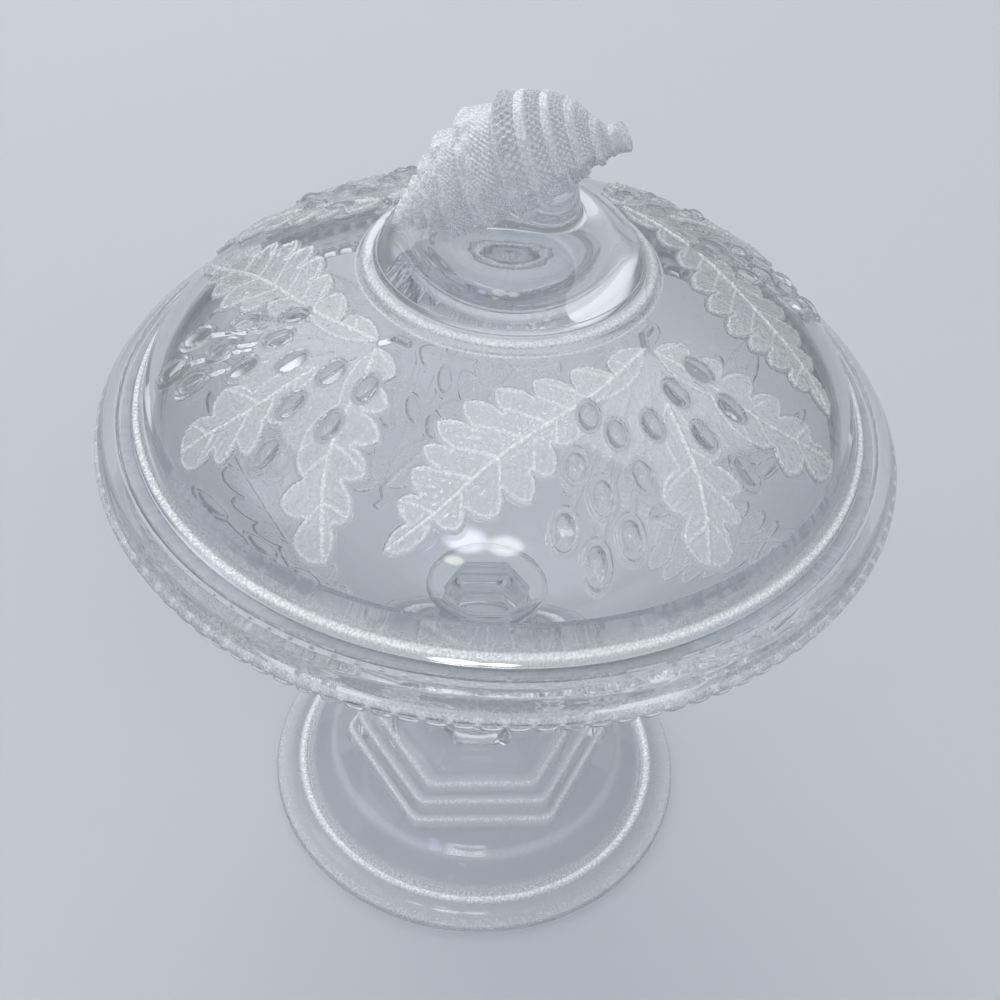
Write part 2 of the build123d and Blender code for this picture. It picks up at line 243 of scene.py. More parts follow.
# Leaf-and-berry spray, in plan view from above, in millimetres from the axis, at the lid's scale
spray_reach = 87.6
spray_node = (31.7, -27.3)
long_leaf = (
    (31.7, -27.3), (22.5, -33.5), (24.0, -36.5), (14.7, -37.5), (15.5, -41.5), (6.7, -41.3), (7.5, -45.0),
    (-1.3, -44.0), (0.0, -48.5), (-8.0, -47.3), (-6.0, -52.5), (-13.3, -52.0), (-10.5, -57.0), (-15.7, -57.3),
    (-13.0, -61.5), (-17.6, -62.0), (-16.0, -66.5), (-20.0, -68.0), (-18.0, -72.0), (-22.0, -77.3),
    (-14.0, -76.0), (-12.0, -72.5), (-6.7, -74.0), (-5.0, -70.5), (1.3, -71.0), (2.5, -66.5), (8.0, -68.0),
    (8.5, -62.5), (12.5, -62.0), (12.0, -56.0), (17.0, -54.0), (21.0, -45.0),
)
broad_leaf = (
    (36.0, -40.0), (41.5, -43.0), (49.0, -47.0), (47.5, -50.5), (54.0, -53.5), (51.0, -56.5), (54.0, -60.0),
    (50.5, -62.0), (52.0, -66.5), (46.7, -70.5), (41.0, -69.0), (40.5, -64.0), (35.5, -62.0), (38.0, -55.0),
)
finger_leaf = (
    (33.0, -27.5), (41.0, -22.5), (42.0, -27.0), (49.0, -23.5), (49.5, -28.0), (56.0, -24.5), (56.5, -29.5),
    (63.0, -26.8), (63.5, -31.0), (71.0, -29.5), (71.5, -32.5), (77.5, -33.5), (73.0, -41.5), (69.5, -40.0),
    (65.3, -45.3), (61.5, -41.5), (56.0, -42.5), (46.0, -35.5),
)
# Each leaf with its rib, from stem to tip
leaves = (
    (long_leaf, (spray_node, (20.0, -42.7), (0.0, -60.0), (-13.3, -72.0), (-22.0, -77.3))),
    (broad_leaf, (spray_node, (37.0, -42.0), (43.5, -55.0), (46.5, -70.0))),
    (finger_leaf, (spray_node, (44.0, -31.0), (58.0, -35.5), (77.0, -34.5))),
)
berries = (
    (19.1, -48.0), (25.3, -50.7), (33.1, -46.7), (38.3, -37.1), (44.7, -45.3), (51.3, -36.0), (43.6, -28.9),
    (54.7, -49.3), (16.8, -59.6), (22.9, -64.3), (31.1, -58.3), (15.1, -72.0), (29.3, -70.7), (22.3, -76.7),
)
stem_hook = ((32.7, -20.7), (31.0, -23.5), spray_node)
# Leaves run together between these points, under the upper berries
web = (
    (31.7, -27.3), (21.0, -45.0), (17.0, -54.0), (24.0, -57.0), (36.0, -60.0), (47.0, -50.0), (58.0, -43.0),
    (50.0, -33.0),
)
# Heights above the glass
leaf_rise, midrib_rise, vein_rise, edge_rise, stipple_rise = 0.8, 0.55, 0.35, 0.3, 0.17
web_rise, stalk_rise, hook_rise = 0.45, 0.95, 1.3
lobe_swell, notch_share = 0.3, 0.16
hatch_rise, hatch_step = 0.15, 1.45
# Half sizes of a berry, its height, and its moat's edge as a share of its size
berry_length, berry_width, berry_rise, berry_moat, moat_wall = 3.3, 2.35, 1.9, 1.27, 0.95
# Frost of a leaf's ground, its hatching, its lines and the web
ground_frost, hatch_frost, line_frost, web_frost = 0.27, 0.08, 0.55, 0.3


def bowed(outline, swell):
    """An outline with each edge bowed outwards, so that its lobes are full and its notches sharp."""
    p = np.array(outline)
    q = np.roll(p, -1, axis=0)
    middle = (p + q) / 2 + np.stack([p[:, 1] - q[:, 1], q[:, 0] - p[:, 0]], axis=1) * swell
    t = np.linspace(0, 1, 6, endpoint=False)[None, :, None]
    return arc(p[:, None], middle[:, None], q[:, None], t).reshape(-1, 2)


def clockwise(outline):
    """The outline's points in clockwise order."""
    p = np.array(outline)
    q = np.roll(p, -1, axis=0)
    return p if np.sum(p[:, 0] * q[:, 1] - q[:, 0] * p[:, 1]) < 0 else p[::-1]


def to_line(x, y, line):
    """Distance from points to a line, and how far along the line, from 0 to 1, the nearest place is."""
    best = np.full(x.shape, 1e9)
    share = np.zeros(x.shape)
    spans = np.linalg.norm(np.diff(line, axis=0), axis=1)
    run = np.concatenate([[0], np.cumsum(spans)]) / spans.sum()
    for (ax, ay), (bx, by), r0, r1 in zip(line, line[1:], run, run[1:]):
        dx, dy = bx - ax, by - ay
        t = np.clip(((x - ax) * dx + (y - ay) * dy) / (dx * dx + dy * dy), 0, 1)
        d = np.hypot(x - ax - t * dx, y - ay - t * dy)
        near = d < best
        best = np.where(near, d, best)
        share = np.where(near, r0 + t * (r1 - r0), share)
    return best, share


def depth_in(x, y, outline):
    """How far points are inside a closed outline, less than 0 outside it."""
    closed = np.vstack([outline, outline[:1]])
    d, _ = to_line(x, y, closed)
    odd = np.zeros(x.shape, bool)
    for (ax, ay), (bx, by) in zip(closed, closed[1:]):
        if ay != by:
            odd ^= ((ay > y) != (by > y)) & (x < (bx - ax) * (y - ay) / (by - ay) + ax)
    return np.where(odd, d, -d)


def step_up(x, width):
    """From 0 to 1 over a width, with no corner."""
    t = np.clip(x / width, 0, 1)
    return t * t * (3 - 2 * t)


def ridge(distance, half_width):
    """A rounded ridge 1 high, at distances from its crest."""
    return np.exp(-((distance / half_width) ** 2))


def bend(p):
    """How an outline turns at each point: over 0 to the left, under 0 to the right."""
    before, after = np.roll(p, 1, axis=0), np.roll(p, -1, axis=0)
    into, away = p - before, after - p
    return into[:, 0] * away[:, 1] - into[:, 1] * away[:, 0]


def notched(outline, rib, share):
    """The outline with each notch drawn in towards the rib by a share of the way."""
    p = clockwise(outline)
    nearest = rib[np.argmin(np.linalg.norm(p[:, None] - rib[None], axis=2), axis=1)]
    return np.where(bend(p)[:, None] > 0, p + (nearest - p) * share, p)


def lobe_veins(outline, rib):
    """A vein to each tip of the outline, from a place on the rib further back."""
    p = clockwise(outline)
    length = np.linalg.norm(np.diff(rib, axis=0), axis=1).sum()
    along = rib[-1] - rib[0]
    veins = []
    for tip in p[bend(p) < 0]:
        d, share = to_line(tip[:1], tip[1:], rib)
        back = share[0] - 0.75 * d[0] / length
        # No vein to the leaf's own tip, nor one that would start before the stem
        if d[0] < 2.5 or back < 0.02:
            continue
        start = rib[int(back * (len(rib) - 1))]
        middle = (start + tip) / 2 - along / np.linalg.norm(along) * 0.08 * d[0]
        veins.append(arc(start, middle, tip, np.linspace(0, 1, 6)[:, None]))
    return veins


def spray_relief(x, y):
    """Height of one spray above the glass, and how far its surface is stippled, at points in plan."""
    low, high = (-26.0, -84.0), (82.0, -18.0)
    near = (x > low[0]) & (x < high[0]) & (y > low[1]) & (y < high[1])
    rise, frost = np.zeros(x.shape), np.zeros(x.shape)
    x, y = x[near], y[near]
    up, white = np.zeros(x.shape), np.zeros(x.shape)
    for outline, rib in leaves:
        rib = smooth_line(rib, spacing=1.0)
        depth = depth_in(x, y, bowed(notched(outline, rib, notch_share), lobe_swell))
        plate = step_up(depth + 0.1, 0.45)
        d, share = to_line(x, y, rib)
        lines, off_vein = midrib_rise * ridge(d, 0.55 - 0.25 * share), d
        for vein in lobe_veins(outline, rib):
            d, share = to_line(x, y, vein)
            lines = np.maximum(lines, vein_rise * ridge(d, 0.3) * (1 - 0.5 * share))
            off_vein = np.minimum(off_vein, d)
        lines = np.maximum(lines, edge_rise * ridge(depth - 0.5, 0.3))
        hatch = 0.5 + 0.5 * np.cos(2 * pi * off_vein / hatch_step)
        up = np.maximum(up, plate * (leaf_rise - edge_rise + np.maximum(lines, hatch_rise * hatch)))
        drawn = np.clip(lines / vein_rise, 0, 1)
        white = np.maximum(white, plate * (ground_frost + hatch_frost * hatch + line_frost * drawn))
    shared = step_up(depth_in(x, y, np.array(web)), 1.5)
    up, white = np.maximum(up, web_rise * shared), np.maximum(white, web_frost * shared)
    grain = np.random.default_rng(5).normal(0, stipple_rise, x.shape)
    up = up + grain * white
    for place in berries:
        outward = np.array(place) - spray_node
        outward /= np.linalg.norm(outward)
        d, share = to_line(x, y, np.array([spray_node, np.array(place) - outward * berry_length]))
        up = np.maximum(up, stalk_rise * ridge(d, 0.35) * step_up(share - 0.35, 0.4))
    d, _ = to_line(x, y, np.array(stem_hook))
    up = np.maximum(up, hook_rise * ridge(d, 0.7))
    for place in berries:
        outward = np.array(place) - 0.6 * np.array(spray_node)
        outward /= np.linalg.norm(outward)
        u = ((x - place[0]) * outward[0] + (y - place[1]) * outward[1]) / berry_length
        v = ((y - place[1]) * outward[0] - (x - place[0]) * outward[1]) / berry_width
        q = np.hypot(u, v)
        body = berry_rise * np.clip(1 - q**2, 0, 1) ** 0.55
        wall = moat_wall * ridge(q - berry_moat, 0.11)
        up = np.where(q < berry_moat, np.maximum(body, wall), np.maximum(up, wall))
        white = np.where(q < berry_moat, 0, white)
    rise[near], frost[near] = up, white
    return rise, frost


def four_sprays(radius, angle):
    """Relief and stipple of the four sprays on a grid whose columns are a whole number of quarter turns."""
    quarter = angle.shape[1] // 4
    r, a = radius[:, :quarter], angle[:, :quarter]
    rise, frost = np.zeros(r.shape), np.zeros(r.shape)
    for k in range(4):
        turned_by = a + k * pi / 2
        up, white = spray_relief(r * np.cos(turned_by), r * np.sin(turned_by))
        rise = np.where(np.abs(up) > np.abs(rise), up, rise)
        frost = np.maximum(frost, white)
    return np.tile(rise, (1, 4)), np.tile(frost, (1, 4))


# Materials


def glass(name, facing_tint, edge_tint, roughness, frosted, stipple, stipple_scale, milk):
    """Glass tinted from facing_tint, seen face on, to edge_tint, seen edge on: a painted shade that darkens the clear
    glass's edges, and a painted rim light that brightens the shell's. Where the mesh's frost value is 1 it is
    stippled and a little milky.
    """
    m = bpy.data.materials.new(name)
    m.use_nodes = True
    nodes, links = m.node_tree.nodes, m.node_tree.links
    nodes.clear()

    def math(operation, first, second):
        node = nodes.new("ShaderNodeMath")
        node.operation = operation
        for socket, value in zip(node.inputs, (first, second)):
            if isinstance(value, float):
                socket.default_value = value
            else:
                links.new(value, socket)
        return node.outputs["Value"]

    shader = nodes.new("ShaderNodeBsdfPrincipled")
    shader.inputs["IOR"].default_value = 1.5
    # Painted edge light and shade: the base colour passes from facing_tint to edge_tint as the glass turns edge on
    facing = nodes.new("ShaderNodeLayerWeight")
    depth = nodes.new("ShaderNodeMix")
    depth.data_type = "RGBA"
    depth.inputs["A"].default_value = (*facing_tint, 1)
    depth.inputs["B"].default_value = (*edge_tint, 1)
    links.new(facing.outputs["Facing"], depth.inputs["Factor"])
    links.new(depth.outputs["Result"], shader.inputs["Base Color"])
    frost = nodes.new("ShaderNodeAttribute")
    frost.attribute_name = "frost"
    place = nodes.new("ShaderNodeTexCoord")
    grain = nodes.new("ShaderNodeTexNoise")
    grain.inputs["Scale"].default_value = stipple_scale
    grain.inputs["Detail"].default_value = 1.0
    links.new(place.outputs["Object"], grain.inputs["Vector"])
    specks = nodes.new("ShaderNodeMapRange")
    specks.inputs["From Min"].default_value = 0.42
    specks.inputs["From Max"].default_value = 0.62
    specks.inputs["To Min"].default_value = 1.0 - stipple
    links.new(grain.outputs["Fac"], specks.inputs["Value"])
    white = math("MULTIPLY", frost.outputs["Fac"], specks.outputs["Result"])
    for socket, source, plain_value, frosted_value in (
        ("Roughness", frost.outputs["Fac"], roughness, frosted),
        ("Transmission Weight", white, 1.0, 1.0 - milk),
    ):
        span = nodes.new("ShaderNodeMapRange")
        span.inputs["To Min"].default_value = plain_value
        span.inputs["To Max"].default_value = frosted_value
        links.new(source, span.inputs["Value"])
        links.new(span.outputs["Result"], shader.inputs[socket])

    # Shadow and diffuse rays pass straight through, so the floor is lit. So does a ray that has turned too often
    rays = nodes.new("ShaderNodeLightPath")
    straight = math("MAXIMUM", rays.outputs["Is Shadow Ray"], rays.outputs["Is Diffuse Ray"])
    trapped = math("GREATER_THAN", rays.outputs["Glossy Depth"], 2.5)
    deep = math("GREATER_THAN", rays.outputs["Ray Depth"], 8.5)
    clear = nodes.new("ShaderNodeBsdfTransparent")
    clear.inputs["Color"].default_value = (0.87, 0.88, 0.89, 1)
    mix = nodes.new("ShaderNodeMixShader")
    links.new(math("MAXIMUM", straight, math("MAXIMUM", trapped, deep)), mix.inputs["Fac"])
    links.new(shader.outputs["BSDF"], mix.inputs[1])
    links.new(clear.outputs["BSDF"], mix.inputs[2])
    out = nodes.new("ShaderNodeOutputMaterial")
    links.new(mix.outputs["Shader"], out.inputs["Surface"])
    return m


def plain(name, colour, roughness):
    """A matt surface for the floor."""
    m = bpy.data.materials.new(name)
    m.use_nodes = True
    shader = m.node_tree.nodes["Principled BSDF"]
    shader.inputs["Base Color"].default_value = (*colour, 1)
    shader.inputs["Roughness"].default_value = roughness
    return m


# Clear glass is darker edge on, a painted shade; the shell is darker face on and lighter edge on, a painted rim light
clear_glass = glass("clear_glass", (0.97, 0.975, 0.98), (0.5, 0.53, 0.55), 0.0, 0.16, 0.42, 1500.0, 0.9)
shell_glass = glass("shell_glass", (0.7, 0.72, 0.75), (0.86, 0.88, 0.9), 0.02, 0.18, 0.45, 1700.0, 0.9)


def worn_and_highlit(profile, *places):
    """Whitened near places of a profile, a painted highlight along edges that stands partly for wear and grinding:
    each has a radius and height, a reach and how far.
    """
    near = [amount * ridge(np.hypot(*(profile - np.array(place)).T), reach) for place, reach, amount in places]
    return np.max(near, axis=0)


# Foot and stem


def hexagon_radius(flat, angle):
    """Radius of a hexagon with softened corners, given its half width across the flats."""
    turn = radians(hexagon_turn + 30)
    total = sum(np.abs(np.cos(angle - turn - k * pi / 3)) ** hexagon_softness for k in range(3))
    return flat / total ** (1 / hexagon_softness)


def hexagonal(profile, radius, angle):
    """Hexagonal all the way up, from half widths across the flats."""
    return hexagon_radius(radius, angle[None, :])


def to_hexagon(flat, circle):
    """Radii that pass from a hexagon, in the first row, to a circle, in the last."""

    def radius_at(profile, radius, angle):
        share = np.linspace(0, 1, len(profile))[:, None]
        return (1 - share) * hexagon_radius(flat, angle)[None, :] + share * circle

    return radius_at


def make_foot():
    ring_outer = foot_radius - foot_flange_width
    ring_inner = ring_outer - foot_ring_width
    ring_top = foot_edge + foot_ring_height
    dome_width, dome_rise = ring_inner - foot_top_radius, foot_height - ring_top
    dome = smooth_line(
        [
            (ring_inner, ring_top),
            (foot_top_radius + 0.3 * dome_width, foot_height - 0.3 * dome_rise),
            (foot_top_radius, foot_height),
        ],
    )
    inside = smooth_line(
        [
            (stem_hollow_radius, foot_height),
            (foot_top_radius - foot_wall, foot_height - foot_wall),
            (foot_radius - foot_rest_width, 0),
        ],
        spacing=2.0,
    )
    flange = softened(
        [inside[-2], (foot_radius - foot_rest_width, 0.0), (foot_radius - 0.4, 0.0), (foot_radius, 1.4),
         (foot_radius - 0.5, foot_edge - 0.2), (ring_outer + 0.3, foot_edge + 0.1)],
        1.0,
    )
    angle = np.linspace(0, pi, 11)[1:-1, None]
    middle = (ring_outer + ring_inner) / 2
    half_ring = 0.5 * foot_ring_width + 0.3
    bead = np.hstack([middle + half_ring * np.cos(angle), foot_edge + foot_ring_height * np.sin(angle)])
    valley = [(ring_inner - 0.4, foot_edge + 1.3), (ring_inner - 1.4, ring_top + 0.3)]
    flange = np.vstack([flange[:-1], bead, valley])
    dome = dome[dome[:, 0] < ring_inner - 2.0]
    line = np.vstack([inside[:-2], flange, dome])
    above = line[:, 1] > 1.0
    # The ring's crest, the foot's edge and the dome's foot are whitened: a painted highlight along these edges,
    # partly wear
    wear_and_highlight = above * worn_and_highlit(
        line,
        ((middle - 0.8, foot_edge + foot_ring_height), 2.3, 1.0),
        ((foot_radius - 1.0, foot_edge), 3.0, 0.35),
        ((foot_top_radius + 1.5, foot_height - 1.0), 1.5, 0.3),
    )
    ledge = np.array([(0.0, foot_height)] * 4)
    body = turned(line, foot_columns)
    shoulder = turned(ledge, foot_columns, to_hexagon(hexagon_flat * steps[0][0], foot_top_radius))[::-1]
    values = [widened(wear_and_highlight, foot_columns), np.zeros(shoulder.shape[:2])]
    return skin("foot_glass", [body, shoulder], clear_glass, "footed_bowl", "foot", values=values)


def make_stem():
    flat = hexagon_flat
    side = [(flat * steps[0][0], foot_height)]
    for i, (radius, top) in enumerate(steps):
        side.append((flat * radius - (step_draft if i == 0 else 0), top))
        following = steps[i + 1][0] if i + 1 < len(steps) else column[0][0]
        side.append((flat * following + (step_draft if i + 1 < len(steps) else 0), top))
    # Each step's edge is whitened: a painted highlight along it, partly wear
    edges = [(corner, 1.3, 0.6) for corner in side[1::2]]
    side = softened(side, 1.1)
    shaft = smooth_line([(flat * r, z) for r, z in column], start=(-1, 0.5), end=(0.2, 1), spacing=0.8)
    line = np.vstack([side[:-1], shaft])
    outside = turned(line, stem_columns, hexagonal)
    wear_and_highlight = widened(worn_and_highlit(line, *edges), stem_columns)
    dome = smooth_line(
        [(stem_hollow_radius, foot_height), (0.01, foot_height + stem_hollow_depth)], start=(-0.6, 1), end=(-1, 0)
    )
    hollow = turned(dome, stem_columns)[:, ::-1]
    values = [wear_and_highlight, np.zeros(hollow.shape[:2])]
    return skin("stem_glass", [outside, hollow], clear_glass, "footed_bowl", "stem", values=values)


def make_wafer():
    bottom, top = column[-1][1], column[-1][1] + wafer_thickness
    edge = wafer_radius - wafer_bulge
    under = turned(np.array([(0.0, bottom)] * 3), wafer_columns, to_hexagon(hexagon_flat * column[-1][0], edge))
    bulge = [
        (edge + wafer_bulge * sin(t), bottom + wafer_thickness * (0.5 - 0.5 * cos(t))) for t in np.linspace(0, pi, 9)
    ]
    side = turned(np.array(bulge + [(bowl_base_radius, top)]), wafer_columns)
    return skin("wafer_glass", [under, side], clear_glass, "footed_bowl", "join_wafer")


# Bowl


def bowl_outside():
    """The outside of the bowl's wall, from its base to its shoulder."""
    rise, reach = bowl_shoulder_height - bowl_base_height, bowl_shoulder_radius - bowl_base_radius
    return smooth_line(
        [
            (bowl_base_radius, bowl_base_height),
            (bowl_base_radius + 0.42 * reach, bowl_base_height + 0.19 * rise),
            (bowl_base_radius + 0.74 * reach, bowl_base_height + 0.52 * rise),
            (bowl_shoulder_radius, bowl_shoulder_height),
        ],
        start=(1, 0.12),
        end=(0.33, 1),
        spacing=0.6,
    )


def raised(line, columns, lift):
    """The line turned about Z and moved outwards along its normal by a relief."""
    away = -inset(line, 1.0) + line
    r = line[:, :1] + away[:, :1] * lift
    z = line[:, 1:] + away[:, 1:] * lift
    angle = angles(columns)[None, :]
    return np.stack([r * np.cos(angle), r * np.sin(angle), z], axis=2)


def make_bowl():
    outside = bowl_outside()
    angle = np.repeat(angles(bowl_columns)[None, :], len(outside), axis=0)
    run = np.linspace(0, 1, len(outside))
    rise, frost = four_sprays(widened(outside[:, 0], bowl_columns) * spray_reach / bowl_shoulder_radius, angle)
    fade = step_up(run - 0.06, 0.06) * step_up(0.97 - run, 0.04)
    rise, frost = rise * fade[:, None], frost * fade[:, None]
    wall = raised(outside, bowl_columns, rise)[:-1]
    inner = inset(outside, bowl_wall)[::-1]
    ledge = lid_flange_top - gallery_depth
    band = softened([outside[-2], outside[-1], (rim_band_radius, bowl_shoulder_height)], 0.6)
    lip_inner, lip_outer = (rim_band_radius, lip_bottom), (rim_radius - 1.0, lip_bottom)
    # The underside of the lip is whiter between the beads
    lip_columns = bead_count * lip_columns_per_bead
    lip = turned(evenly(np.array([lip_inner, lip_outer]), 0.8), lip_columns)
    off_valley = np.abs(np.sin(np.arange(lip_columns) * pi / lip_columns_per_bead))
    valley = ridge(off_valley, 0.4) + np.zeros((len(lip), 1))
    brim = softened(
        [
            lip_outer,
            (rim_radius, lip_bottom),
            (rim_radius - 0.3, rim_lip_height),
            (brim_radius + rim_crown / 2, brim_height + rim_crown),
            (gallery_radius, lid_flange_top),
            (gallery_radius, ledge),
            (gallery_radius - gallery_width, ledge),
            inner[0],
            inner[1],
        ],
        0.9,
    )
    keep = inner[1:][inner[1:, 0] > well_radius]
    well = smooth_line([keep[-1], (well_radius / 2, keep[-1][1] - 0.5), (0.01, keep[-1][1] - 0.7)], end=(-1, 0))
    lining = np.vstack([brim, keep[1::2], well])
    # The brim and the lip's edge are whitened: a painted highlight along them, partly wear
    wear_and_highlight = worn_and_highlit(lining, ((brim_radius, brim_height), 5.0, 0.22), ((rim_radius, rim_lip_height), 1.5, 0.75))
    return skin(
        "bowl_glass",
        [wall, turned(band, bowl_rim_columns), lip, turned(lining, bowl_rim_columns)],
        clear_glass,
        "footed_bowl",
        "bowl",
        values=[frost[:-1], np.zeros((len(band), bowl_rim_columns)), valley, widened(wear_and_highlight, bowl_rim_columns)],
    )


def make_beads():
    t = np.linspace(0, 1, 13)[:, None]
    angle = angles(bead_count * columns_per_bead)[None, :]
    around = np.abs(np.sin(angle * bead_count / 2))
    bulge = np.sqrt(np.clip(1 - (2 * t - 1) ** 2, 0, 1)) * np.sqrt(np.clip(1 - (1 - around) ** 2.0, 0, 1))
    radius = rim_band_radius + bead_relief * bulge
    height = bowl_shoulder_height + (lip_bottom - bowl_shoulder_height) * t + 0 * angle
    grid = np.stack([radius * np.cos(angle), radius * np.sin(angle), height], axis=2)
    frost = 0.85 * ridge(around, 0.3) + 0 * t
    return skin("bead_glass", [grid], clear_glass, "footed_bowl", "rim_beads", values=[frost])


# Lid


def make_lid():
    flange_radius = gallery_radius - lid_clearance
    flange_bottom = lid_flange_top - gallery_depth
    step_radius = flange_radius - lid_flange_width
    step_top = lid_flange_top + lid_step_height
    dome = smooth_line([dome_foot, dome_shoulder, dome_top], start=(-0.55, 1), end=(-1, 0.33), spacing=0.45)
    inner = inset(dome, lid_wall)[::-1]
    rim = softened(
        [
            (inner[-1][0], inner[-1][1]),
            (inner[-1][0], flange_bottom),
            (flange_radius, flange_bottom),
            (flange_radius, lid_flange_top),
            (step_radius, lid_flange_top),
            (step_radius - 0.6, step_top),
            (step_radius - 2.0, step_top),
            dome_foot,
            dome[1],
        ],
        0.7,
    )
    collar = softened(
        [
            dome[-2],
            dome_top,
            (collar_radius + 0.8, collar_height - 0.6),
            (collar_radius, collar_height),
            (crown_radius + 0.8, collar_height),
            (crown_radius + 0.3, crown_seat_height),
            (crown_radius, crown_seat_height),
        ],
        0.5,
    )
    ceiling = smooth_line([(0.01, inner[0][1] + ceiling_rise), inner[0]], start=(1, 0), end=(1, -0.45), spacing=1.0)
    lining = np.vstack([ceiling[:-1], inner[::3], inner[-1:]])
    angle = np.repeat(angles(lid_columns)[None, :], len(dome), axis=0)
    rise, frost = four_sprays(widened(dome[:, 0], lid_columns), angle)
    fade = step_up(dome_foot[0] - 0.8 - dome[:, :1], 1.5)
    cover = raised(dome, lid_columns, rise * fade)[1:-1]
    parts = [turned(lining, lid_lining_columns), turned(rim, lid_rim_columns), cover, turned(collar, lid_rim_columns)]
    # The lid's step and flange, the collar and the dome's top are whitened: a painted highlight along them, partly
    # wear
    rim_wear_and_highlight = worn_and_highlit(rim, ((step_radius - 1.0, step_top), 1.7, 1.0), ((flange_radius, lid_flange_top), 1.5, 0.3))
    collar_wear_and_highlight = worn_and_highlit(collar, ((collar_radius, collar_height), 1.6, 0.7), (dome_top, 1.2, 0.5))
    values = [
        np.zeros(parts[0].shape[:2]),
        widened(rim_wear_and_highlight, lid_rim_columns),
        (frost * fade)[1:-1],
        widened(collar_wear_and_highlight, lid_rim_columns),
    ]
    return skin("lid_glass", parts, clear_glass, "lid", "lid_cover", values=values)


def crown_line():
    """The crown's profile, from its seat on the collar to its top."""
    return smooth_line(
        [
            (crown_radius, crown_seat_height),
            (0.885 * crown_radius, crown_seat_height + 0.42 * crown_height),
            (0.42 * crown_radius, crown_seat_height + 0.89 * crown_height),
            (0.01, crown_seat_height + crown_height),
        ],
        start=(-0.3, 1),
        end=(-1, 0),
        spacing=0.5,
    )


def any_corner(inside):
    """For each face of a closed grid, whether any of its corners is inside."""
    side = inside | np.roll(inside, -1, 1)
    return side[:-1] | side[1:]


def crown_top(x, y):
    """Height of the crown, with the clear glass that rises from it into the shell's belly."""
    line = crown_line()[::-1]
    boss = np.interp(np.hypot(x, y), line[:, 0], line[:, 1])
    aside = np.hypot(x - np.clip(x, *pedestal_span), y)
    middle = shell_apex[2] + (x - shell_apex[0]) * tan(radians(shell_slope))
    rise = np.clip(np.minimum(middle - boss, pedestal_rise), 0, None)
    return boss + rise * step_up(1 - (aside - pedestal_flat) / pedestal_flare, 1.0)


def make_crown():
    grid = turned(crown_line(), crown_columns)
    grid[..., 2] = crown_top(grid[..., 0], grid[..., 1])
    place = grid - np.array(shell_apex)
    s, h, y = place @ shell_ahead, place @ shell_up, grid[..., 1]
    lift, _ = shell_outline(s.ravel())
    h = h - lift.reshape(s.shape)
    turn = np.arctan2(h, y) / (2 * pi) % 1.0
    radius, _, _ = shell_surface(s, turn)
    inside = (np.hypot(h, y) < radius) & (s > 0) & (s < shell_length)
    return skin(
        "crown_glass",
        [grid],
        clear_glass,
        "lid",
        "finial_crown",
        kept=[any_corner(~inside)],
    )


# Shell

shell_ahead = np.array([cos(radians(shell_slope)), 0, sin(radians(shell_slope))])
shell_up = np.array([-sin(radians(shell_slope)), 0, cos(radians(shell_slope))])


def shell_outline(s):
    """Lift of the shell's middle and its plain radius at distances along its axis."""
    scale = (shell_length, shell_girth, shell_girth)
    line = smooth_line(np.array(shell_stations) * scale, spacing=0.1)
    return np.interp(s, line[:, 0], line[:, 2]), np.interp(s, line[:, 0], line[:, 1])


def shell_surface(s, turn):
    """Radius of the shell at distances along its axis and shares of a turn.

    Also how far each place is under the belly's edge, and how deep in a groove between bands.
    """
    _, girth = shell_outline(s)
    around = 2 * pi * turn
    whorl = np.log(np.maximum(s, 0.05 * last_suture) / last_suture) / np.log(whorl_growth) + turn - 0.25
    phase = whorl % 1.0
    spire = step_up(s - 1.5, 2.5) * step_up(41 - s, 6)
    tooth = np.where(phase < whorl_rise, step_up(phase, whorl_rise), (1 - phase) / (1 - whorl_rise))
    radius = girth * (1 + spire * whorl_step * (2 * tooth - 1))
    # Suture line, knobs along each shoulder and fine ribs across the lower half of each whorl
    small = np.clip(girth / 12, 0.25, 1)
    radius = radius - suture_depth * small * spire * ridge(np.minimum(phase, 1 - phase), 0.035)
    upper = np.cos(upper_knobs * around) * ridge(phase - 0.27, 0.1)
    lower = 0.5 * np.cos(lower_knobs * around + 2) * ridge(phase - 0.5, 0.12)
    radius = radius + knob_rise * small * spire * (upper + lower)
    ribs = np.cos(rib_count * around - rib_slant * 2 * pi * whorl)
    ribs = ribs * step_up(phase - 0.45, 0.15) * step_up(0.97 - phase, 0.06)
    ribs = ribs * (0.3 + 0.7 * np.cos(around) ** 2)
    radius = radius + rib_rise * small * spire * ribs
    # Body whorl: smooth raised bands with rows of dots between them
    body = step_up(s - 34.5, 3.0) * step_up(shell_length - 3.5 - s, 3.0)
    band = np.interp(s, band_places, range(len(band_places))) + turn - 0.25
    groove = step_up(0.62 - np.cos(2 * pi * band), 0.5)
    dots = np.cos(dot_count * around + 3) * np.cos(2 * pi * band * 3 + 0.6)
    radius = radius + body * (band_rise - groove_depth * groove + dot_rise * groove * dots)
    # The frosted form ends in a notched edge low on the front and the back, and overhangs the clear glass below
    edge = np.interp(s, *np.transpose(belly_edge)) + 0.006 * np.sin(2 * pi * s / 2.3)
    under = step_up(turn - edge, 0.014) * step_up(1.5 - edge - turn, 0.014)
    radius = radius - belly_depth * under * step_up(s - 14, 8) * step_up(shell_length - 6 - s, 5)
    rough = grain_rise * step_up(s, 4) * np.random.default_rng(3).normal(0, 1, s.shape)
    end = np.sqrt(np.clip((shell_length - s) / 1.0, 0, 1))
    return (radius + rough) * end, under, groove


